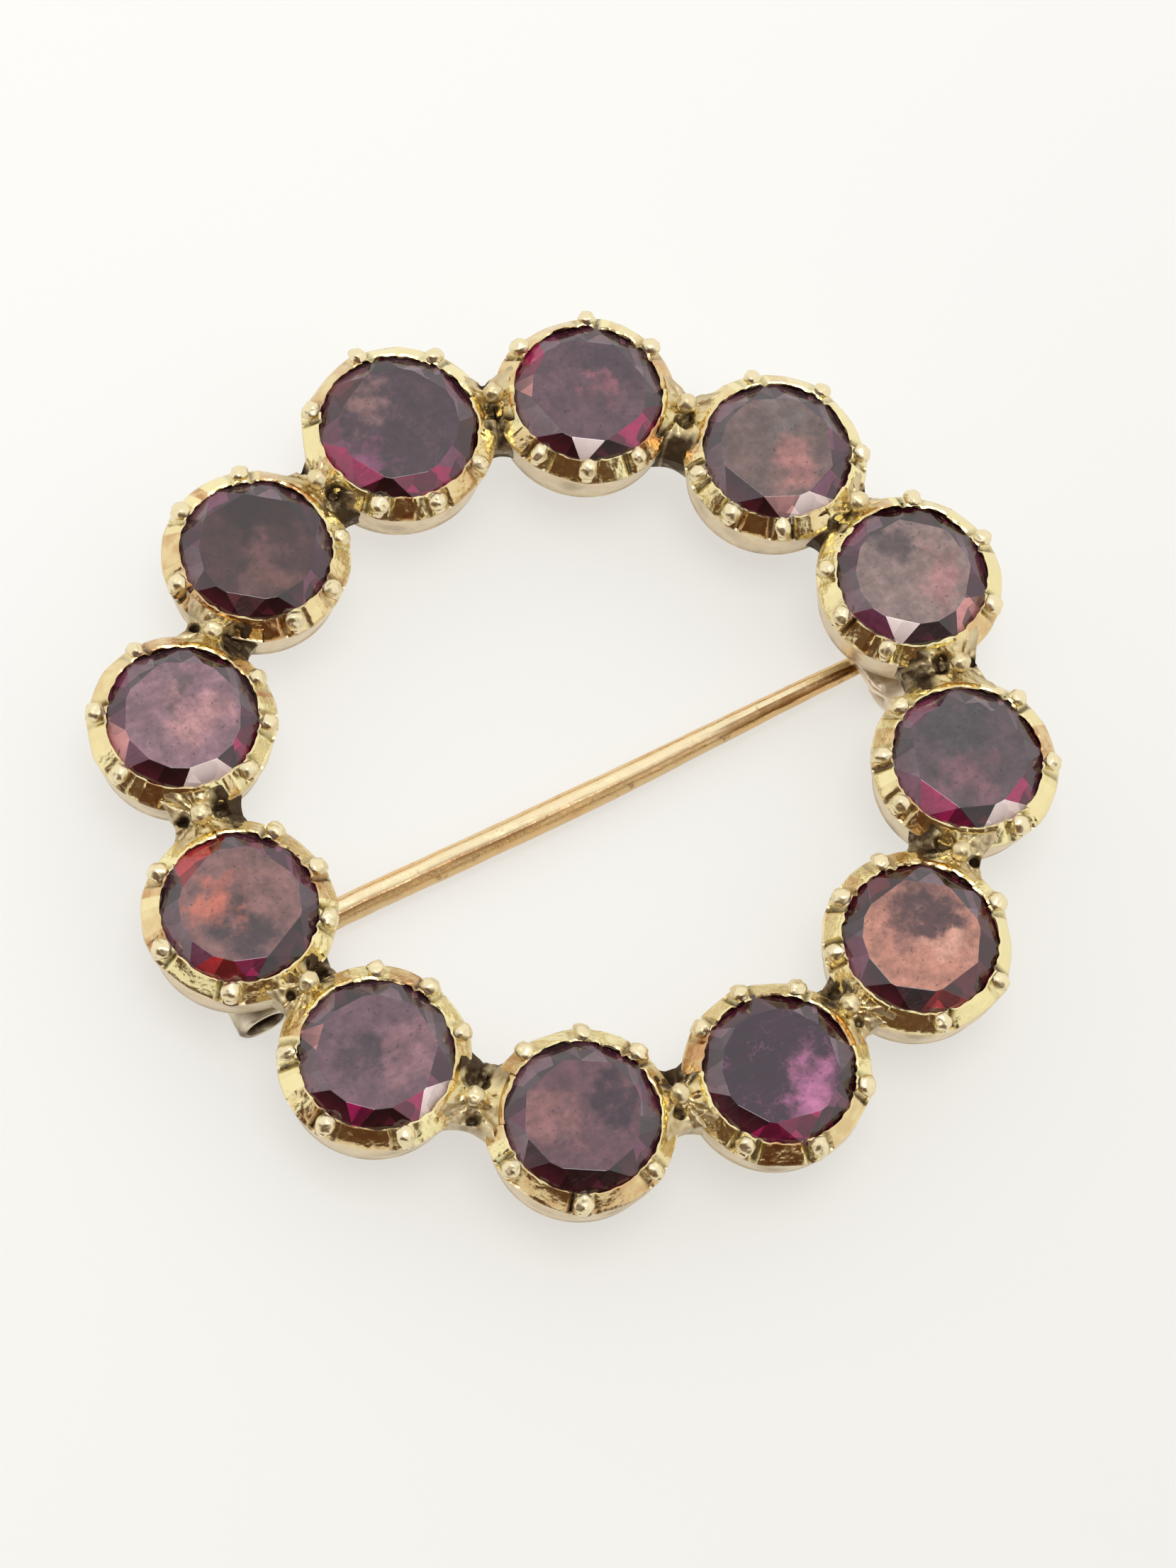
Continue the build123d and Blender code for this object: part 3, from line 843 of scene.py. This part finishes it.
def paint_garnet(bm, look, radius):
    """Writes a stone's colours and the painted light on its facets, and where its bright and dark places
    are.
    """
    colour_and_light = bm.loops.layers.float_color.new("colour_and_painted_light")
    local = bm.loops.layers.float_vector.new("local")
    places = []
    for name in ("glow", "shade"):
        spot = getattr(look, name)
        colour = tuple(max(channel - sky_glare, darkest) for channel in spot.colour) + (spot.size,)
        turn = math.radians(spot.angle_deg)
        away = Vector((spot.away * math.cos(turn), spot.away * math.sin(turn), 0))
        colour_layer = bm.loops.layers.float_color.new(f"{name}_colour")
        place_layer = bm.loops.layers.float_vector.new(f"{name}_place")
        places.append((colour_layer, place_layer, colour, away))
    to_picture = Matrix.Rotation(-math.radians(picture_right_deg), 3, "Z")
    half_deg = 180 / crown_sides
    for face in bm.faces:
        spot = face.calc_center_median()
        turn = math.degrees(math.atan2(spot.y, spot.x)) - picture_right_deg
        sector = round(turn / half_deg) % (2 * crown_sides)
        is_table = face.normal.z > table_level and spot.z > crown_height / 2
        flag = 1.0 if is_table else 0.0
        tone = look.colour if is_table else painted_facet_tones[look.tones[sector]]
        for loop in face.loops:
            reach = loop.vert.co.xy.length / radius
            # Toward the girdle the facets are blended with painted shade.
            lip_shade = 0.0 if is_table else lip_shade_share * held((reach - lip_shade_start) / lip_shade_fade)
            mixed = Vector(tone).lerp(lip_shade_colour, lip_shade)
            loop[colour_and_light] = tuple(max(channel - sky_glare * flag, darkest) for channel in mixed) + (flag,)
            flat = loop.vert.co / radius
            flat.z = 0
            loop[local] = to_picture @ flat
            for colour_layer, place_layer, colour, away in places:
                loop[colour_layer] = colour
                loop[place_layer] = away


def make_garnet(number):
    """A stone with its facets cut and its colours on it, in its collet."""
    chance = random.Random(garnet_seed + number)
    middle, radius = stone_of(number)
    look = looks[number - 1]
    bottom = -girdle_height - pavilion_depth
    depth = crown_height - bottom
    bm = bmesh.new()
    bmesh.ops.create_cone(
        bm, cap_ends=True, segments=girdle_steps, radius1=radius, radius2=radius, depth=depth
    )
    bmesh.ops.translate(bm, vec=(0, 0, (crown_height + bottom) / 2), verts=bm.verts)
    half_deg = 180 / crown_sides
    half_share = math.cos(math.radians(half_deg))
    for side in range(crown_sides):
        turn_deg = look.facets_deg + 2 * half_deg * side
        table = radius * table_share * (1 + chance.uniform(-facet_jitter, facet_jitter))
        cut_facet(bm, turn_deg, radius, 0, table * half_share, crown_height)
        jitter = chance.uniform(-facet_jitter, facet_jitter) / 2
        table = radius * table_share * corner_share * (1 + jitter)
        cut_facet(bm, turn_deg + half_deg, radius * half_share, 0, table, crown_height)
    for side in range(pavilion_sides):
        turn_deg = look.facets_deg + side * 360 / pavilion_sides
        cut_facet(bm, turn_deg, radius, -girdle_height, radius * culet_share, bottom)
    bmesh.ops.remove_doubles(bm, verts=bm.verts, dist=0.002)
    bmesh.ops.bevel(
        bm, geom=bm.edges[:], offset=stone_edge, affect="EDGES", segments=1, profile=0.5, material=-1
    )
    bmesh.ops.recalc_face_normals(bm, faces=bm.faces)
    paint_garnet(bm, look, radius)
    bmesh.ops.translate(bm, vec=middle + Vector((0, 0, girdle_z)), verts=bm.verts)
    piece = finish_piece(bm, f"stone_{number:02d}", garnet, "brooch", sharp_deg=4.0)
    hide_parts(f"garnet_{number:02d}")


for number in range(1, stone_count + 1):
    make_garnet(number)

# Hinge: two knuckles rolled from thick sheet, each on a short foot that is soldered to the back of a
# collet, and a rivet through them whose hammered ends lie sunk in the barrel's ends. It is a greyer gold
# than the collets' and much worn.
rivet_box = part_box("hinge_rivet")
hinge_x = (rivet_box[0].x + rivet_box[1].x) / 2 / mm
rivet_low_y = rivet_box[0].y / mm
rivet_high_y = rivet_box[1].y / mm
knuckle_radius = 0.80
knuckle_chamfer = 0.07
knuckle_steps = 96
near_knuckle_length = 1.25
far_knuckle_length = 2.15
recess_radius = 0.56
recess_depth = 0.28
foot_width = 1.00
foot_reach = 2.22
foot_bevel = 0.10
foot_bury = 0.05
back_z = 1.70
rivet_radius = 0.36
rivet_hole_radius = 0.40
rivet_head = ((0.0, 0.0), (0.6, 0.02), (0.9, 0.07), (1.0, 0.14))
rivet_steps = 48
wear_rate = 1.7
# Painted shade for the gap round the rivet in each knuckle's recess.
recess_painted_shade = (1.0, 1.0, 0.0, 1.0)
hinge_cut = (0.84, 0.75, 0.56, 1.0)
hinge_wall = (0.80, 0.72, 0.56, 1.0)
rivet_cut = (0.86, 0.74, 0.52, 1.0)
rivet_wall = (0.80, 0.68, 0.48, 1.0)
hinge_gold = gold_material("hinge_gold", hinge_cut, hinge_wall, roughness=0.26)
rivet_gold = gold_material("rivet_gold", rivet_cut, rivet_wall, roughness=0.28)


def knuckle_profile(length, recess=0.0, recess_deep=0.0):
    """The outline of a knuckle about its hole, with chamfered ends and perhaps a recess in the first."""
    hole, radius, chamfer = rivet_hole_radius, knuckle_radius, knuckle_chamfer
    mouth = max(recess, hole)
    return [
        (hole, recess_deep),
        (mouth, recess_deep),
        (mouth + chamfer / 2, 0),
        (radius - chamfer, 0),
        (radius, chamfer),
        (radius, length / 2),
        (radius, length - chamfer),
        (radius - chamfer, length),
        (hole, length),
        (hole, recess_deep),
    ]


def wear(bm, tarnish_and_shade, spread):
    """Marks a mesh with uneven tarnish."""
    finish = bm.verts.layers.float_color.new("finish")
    for vert in bm.verts:
        lumps = noise.noise(vert.co * wear_rate)
        vert[finish] = (held(tarnish_and_shade + spread * lumps), 0.5 + lumps, 0.0, 1.0)


def make_knuckle(name, end_y, way_y, length):
    """A knuckle of the barrel from its outer end, along Y or against it, and its foot."""
    bm = bmesh.new()
    spin_round(bm, knuckle_profile(length, recess_radius, recess_depth), knuckle_steps)
    swing(bm, bm.verts, "X", math.radians(-90 * way_y))
    bmesh.ops.translate(bm, vec=(hinge_x, end_y, knuckle_radius), verts=bm.verts)
    inner_y = end_y + way_y * length
    outer_y = way_y * -foot_reach
    foot_size = (foot_width, abs(inner_y - outer_y), back_z - knuckle_radius + foot_bury)
    foot_middle = (hinge_x, (inner_y + outer_y) / 2, (knuckle_radius + back_z + foot_bury) / 2)
    foot = bmesh.ops.create_cube(bm, size=1.0)["verts"]
    bmesh.ops.scale(bm, vec=foot_size, verts=foot)
    bmesh.ops.translate(bm, vec=foot_middle, verts=foot)
    edges = list({edge for vert in foot for edge in vert.link_edges})
    bmesh.ops.bevel(
        bm, geom=edges, offset=foot_bevel, affect="EDGES", segments=3, profile=0.5, material=-1
    )
    wear(bm, tarnish_and_shade=0.10, spread=0.8)
    finish = bm.verts.layers.float_color["finish"]
    for vert in bm.verts:
        reach = math.hypot(vert.co.x - hinge_x, vert.co.z - knuckle_radius)
        # The recess round the rivet is painted black: painted shade in the gap.
        if reach < recess_radius + knuckle_chamfer / 4:
            vert[finish] = recess_painted_shade
    finish_piece(bm, name, hinge_gold, "brooch", sharp_deg=35.0)


make_knuckle("hinge_knuckle_near", rivet_low_y - recess_depth, 1, near_knuckle_length)
make_knuckle("hinge_knuckle_far", rivet_high_y + recess_depth, -1, far_knuckle_length)

bm = bmesh.new()
rivet_length = rivet_high_y - rivet_low_y
head = [(rivet_radius * share, height) for share, height in rivet_head]
tail = [(radius, rivet_length - height) for radius, height in reversed(head)]
spin_round(bm, head + tail, rivet_steps)
swing(bm, bm.verts, "X", math.radians(-90))
bmesh.ops.translate(bm, vec=(hinge_x, rivet_low_y, knuckle_radius), verts=bm.verts)
wear(bm, tarnish_and_shade=0.3, spread=0.6)
rivet = finish_piece(bm, "rivet", rivet_gold, "brooch", sharp_deg=40.0)
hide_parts("hinge_rivet")

# Catch: a hook of thick strip, soldered flat to the back of the collet opposite the hinge and bent round
# in a C, so that its lip lies beside the wire. It is a paler, pinker gold, rubbed smooth by the pin.
hook_x = 8.85
hook_width = 1.60
hook_thickness = 0.36
hook_foot_y = 0.52
hook_bend_y = -1.42
hook_lip_y = -0.99
hook_bevel = 0.12
hook_corner_deg = 60
hook_inset = 0.35
hook_narrow_start = 0.3
hook_narrow_near = 0.35
hook_narrow_far = 0.20
hook_steps = 40
hook_cut = (0.92, 0.79, 0.60, 1.0)
hook_wall = (0.92, 0.80, 0.66, 1.0)
hook_gold = gold_material("hook_gold", hook_cut, hook_wall, roughness=0.34)
bm = bmesh.new()
bend_radius = back_z / 2
centre_radius = bend_radius - hook_thickness / 2
path = [(hook_foot_y, back_z - hook_thickness / 2)]
path += arc(hook_bend_y, bend_radius, centre_radius, 90, 270, hook_steps)
path += [(hook_lip_y, hook_thickness / 2)]
for first, second in zip(path, path[1:]):
    corners = []
    for (y, z), side in ((first, 0), (second, 0), (second, 1), (first, 1)):
        bent = held((hook_bend_y + hook_narrow_start - y) / bend_radius) if z > bend_radius else 1.0
        narrow = (hook_inset + hook_narrow_near * bent**2, -hook_narrow_far * bent**2)[side]
        corners.append(bm.verts.new((hook_x + side * hook_width + narrow, y, z)))
    bm.faces.new(corners)
bmesh.ops.remove_doubles(bm, verts=bm.verts, dist=0.0005)
bmesh.ops.recalc_face_normals(bm, faces=bm.faces)
bmesh.ops.solidify(bm, geom=bm.faces[:], thickness=hook_thickness)
bmesh.ops.recalc_face_normals(bm, faces=bm.faces)
low_y = min(vert.co.y for vert in bm.verts)
low_z = min(vert.co.z for vert in bm.verts)
bmesh.ops.translate(bm, vec=(0, hook_bend_y - bend_radius - low_y, -low_z), verts=bm.verts)
corner = math.radians(hook_corner_deg)
sharp = [edge for edge in bm.edges if len(edge.link_faces) == 2 and edge.calc_face_angle() > corner]
bmesh.ops.bevel(
    bm, geom=sharp, offset=hook_bevel, affect="EDGES", segments=4, profile=0.5, material=-1
)
wear(bm, tarnish_and_shade=0.0, spread=0.3)
finish_piece(bm, "catch_hook", hook_gold, "brooch", sharp_deg=50.0)

# Pin: a wire of rosier gold, drawn and filed to a point, with the hinge's middle knuckle soldered to its
# thicker root. It has a narrow flat along its upper side, painted with a highlight, with a painted dark
# reflection line beside it; its lower side and its end near the catch are darkened with painted shade. It
# is scratched and a little bent.
pin_aside = -0.58
pin_knuckle_length = 1.50
root_radius = 0.60
root_bite = 0.05
root_end = 2.90
root_taper = 0.40
wire_radius = 0.43
straight_end = 11.90
shoulder_radius = 0.29
tip_length = 2.60
tip_radius = 0.05
tip_round = 0.04
wire_steps = 72
pin_bow = 0.09
pin_rag = 0.012
pin_rag_rate = 1.3
wander_deg = 6
wander_rate = 0.5
flat_deg = 4.0
flat_half_deg = 22.0
flat_fade_deg = 20
# A painted dark reflection line beside the flat, painted shade under the wire and near its end by the
# catch.
dark_line_deg = -24.0
dark_line_half_deg = 17.0
dark_line_deep_end = 11.0
dark_line_deep_fade = 1.8
dark_line_deep_widen = 0.4
dark_line_least = 0.75
under_painted_shade = 0.26
under_shade_fade_deg = 60
end_shade_start = 15.5
end_shade_fade = 1.1
end_shade_deg = (-50.0, -4.0)
pin_rose = (0.87, 0.59, 0.28, 1.0)
pin_yellow = (0.85, 0.64, 0.35, 1.0)
pin_flat_highlight = (0.94, 0.80, 0.52, 1.0)
pin_nick = (0.34, 0.18, 0.08, 1.0)
pin_scratch = (0.46, 0.25, 0.11, 1.0)
pin_shade_brown = (0.24, 0.105, 0.032, 1.0)
rose_range = (0.38, 0.62)
nick_range = (0.60, 0.74, 0.0, 0.75)
scratch_range = (0.56, 0.70, 0.0, 0.35)
pin_dark_range = (0.30, 0.55, 0.7, 1.0)
nick_roughness = (0.35, 0.70, 0.16, 0.38)
pin_scratch_relief = 0.5
pin_relief = 0.04

pin_gold = bpy.data.materials.new("pin_gold")
add = new_nodes(pin_gold)
place = add("ShaderNodeTexCoord").outputs["Object"]
drawn = add("ShaderNodeMapping", {"Vector": place, "Scale": (0.10, 1.0, 1.0)}).outputs[0]
scratch = patches(add, drawn, scale=9000, detail=4.0)
nicks = patches(add, place, scale=2600, detail=4.0, roughness=0.65)
cloud = patches(add, place, scale=700, detail=4.0)
on_pin_painted_dark = add("ShaderNodeAttribute", attribute_name="pin_painted_dark").outputs["Fac"]
on_flat = add("ShaderNodeAttribute", attribute_name="flat").outputs["Fac"]
colour = blend(add, stretch(add, cloud, *rose_range), pin_rose, pin_yellow)
# The flat is painted with a highlight.
colour = blend(add, on_flat, colour, pin_flat_highlight)
colour = blend(add, stretch(add, nicks, *nick_range), colour, pin_nick)
colour = blend(add, stretch(add, scratch, *scratch_range), colour, pin_scratch)
# The brown is painted: a dark reflection line beside the flat, and painted shade below and near the end.
on_pin_painted_dark = sums(add, "MULTIPLY", on_pin_painted_dark, stretch(add, cloud, *pin_dark_range))
colour = blend(add, on_pin_painted_dark, colour, pin_shade_brown)
rough = stretch(add, nicks, *nick_roughness)
dents = sums(add, "ADD", sums(add, "MULTIPLY", scratch, pin_scratch_relief), nicks)
metal_surface(add, colour, rough, dents, strength=0.5, depth=pin_relief)

bm = bmesh.new()
pin_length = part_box("pin")[1].x / mm - hinge_x
pin_start = rivet_hole_radius + root_bite
outline = [(0, pin_start), (root_radius, pin_start)]
for corner, rows in (
    ((root_radius, root_end - root_taper), 6),
    ((wire_radius, root_end), 4),
    ((wire_radius, straight_end), 50),
    ((shoulder_radius, pin_length - tip_length), 50),
    ((tip_radius, pin_length - tip_round), 24),
):
    outline += line(outline[-1], corner, rows)
outline += [(0, pin_length)]
spin_round(bm, outline, wire_steps)
swing(bm, bm.verts, "Y", math.radians(90))
pin_painted_dark = bm.verts.layers.float.new("pin_painted_dark")
flat = bm.verts.layers.float.new("flat")
for vert in bm.verts:
    reach = math.hypot(vert.co.y, vert.co.z)
    if reach > tip_radius:
        rag = noise.noise(vert.co * pin_rag_rate) - 0.5
        vert.co.yz *= 1 + pin_rag * rag / reach
        turn = math.degrees(math.atan2(vert.co.y, vert.co.z))
        wander = wander_deg * noise.noise(Vector((vert.co.x * wander_rate, 0, 0)))
        off_flat = abs(turn - flat_deg - wander)
        if off_flat < flat_half_deg:
            vert.co.yz *= math.cos(math.radians(flat_half_deg)) / math.cos(math.radians(off_flat))
        vert[flat] = held((flat_half_deg + flat_fade_deg / 2 - off_flat) / flat_fade_deg)
        # The painted dark line beside the flat, the painted shade on the lower side and near the catch end.
        deep = held((dark_line_deep_end - vert.co.x) / dark_line_deep_fade)
        dark = dark_line_least + (1 - dark_line_least) * deep
        half_deg = dark_line_half_deg * (1 + dark_line_deep_widen * deep)
        off_dark_line = turn - dark_line_deg - wander
        below = min(held(-off_dark_line / half_deg), (turn + 180) / under_shade_fade_deg)
        vert[pin_painted_dark] = max(dark * (1 - abs(off_dark_line) / half_deg), under_painted_shade * below)
        if end_shade_deg[0] < turn - wander < end_shade_deg[1]:
            vert[pin_painted_dark] = max(vert[pin_painted_dark], min((vert.co.x - end_shade_start) / end_shade_fade, 1.0))
bow_length = hook_x - hinge_x - root_end
for vert in bm.verts:
    share = held((vert.co.x - root_end) / bow_length)
    vert.co.y -= pin_bow * math.sin(math.pi * share) ** 2
bmesh.ops.translate(bm, vec=(hinge_x, pin_aside, knuckle_radius), verts=bm.verts)
knuckle = bmesh.new()
spin_round(knuckle, knuckle_profile(pin_knuckle_length), knuckle_steps)
swing(knuckle, knuckle.verts, "X", math.radians(-90))
knuckle_end = (hinge_x, pin_aside - pin_knuckle_length / 2, knuckle_radius)
bmesh.ops.translate(knuckle, vec=knuckle_end, verts=knuckle.verts)
knuckle_data = bpy.data.meshes.new("pin_knuckle")
knuckle.to_mesh(knuckle_data)
knuckle.free()
bm.from_mesh(knuckle_data)
bpy.data.meshes.remove(knuckle_data)
pin = finish_piece(bm, "pin_wire", pin_gold, "pin", sharp_deg=35.0)
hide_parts("pin")
